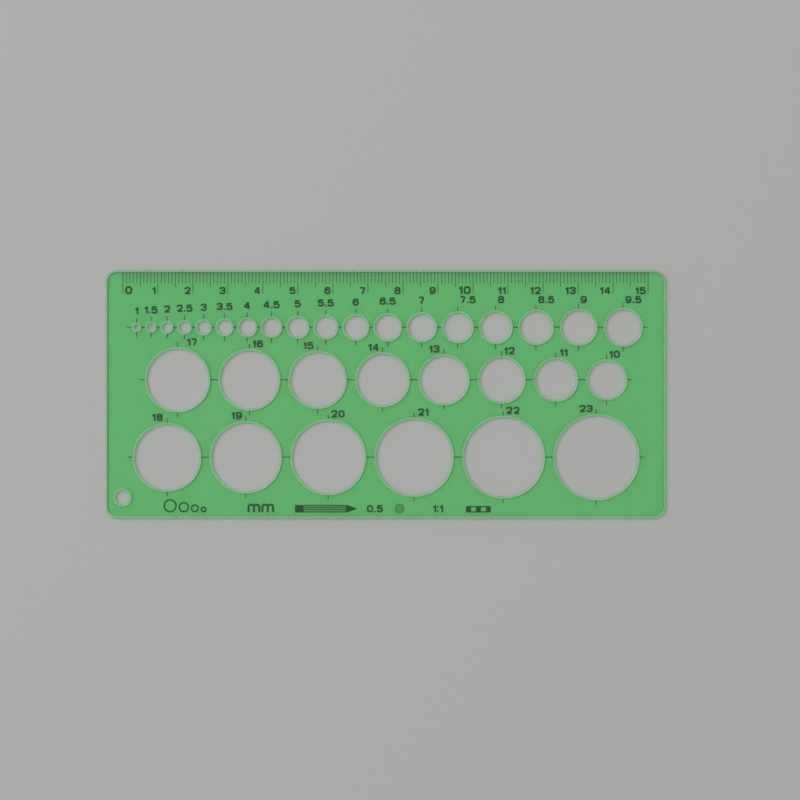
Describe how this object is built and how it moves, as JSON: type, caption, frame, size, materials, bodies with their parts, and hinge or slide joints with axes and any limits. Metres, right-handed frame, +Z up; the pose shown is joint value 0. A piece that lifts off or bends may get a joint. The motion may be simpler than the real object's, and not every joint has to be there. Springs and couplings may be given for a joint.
{
  "type": "circle template",
  "caption": "Flat translucent green drafting plate with three rows of graded circle holes, a bevelled centimetre scale along one long edge and a hanging hole in one corner.",
  "frame": {"origin": "middle of the plate's flat underside", "axes": "+Z up through the plate's thickness, +X along the scale from 0 to 15 cm, +Y towards the bevelled scale edge"},
  "size_m": [0.16, 0.071, 0.0012],
  "materials": {
    "green_plastic": "clear green, polished",
    "marking_foil": "hot-stamped black-green foil"
  },
  "bodies": {
    "root": {"plate": "green_plastic", "millimetre_marks": "marking_foil", "five_millimetre_marks": "marking_foil", "centimetre_marks": "marking_foil", "scale_numerals": "marking_foil", "small_row_centre_marks": "marking_foil", "small_row_numerals": "marking_foil", "middle_row_centre_marks": "marking_foil", "middle_row_numerals": "marking_foil", "large_row_centre_marks": "marking_foil", "large_row_numerals": "marking_foil", "ring_symbol": "marking_foil", "unit_mark": "marking_foil", "pencil_allowance_mark": "marking_foil", "full_size_mark": "marking_foil", "bar_mark": "marking_foil"}
  },
  "joints": []
}
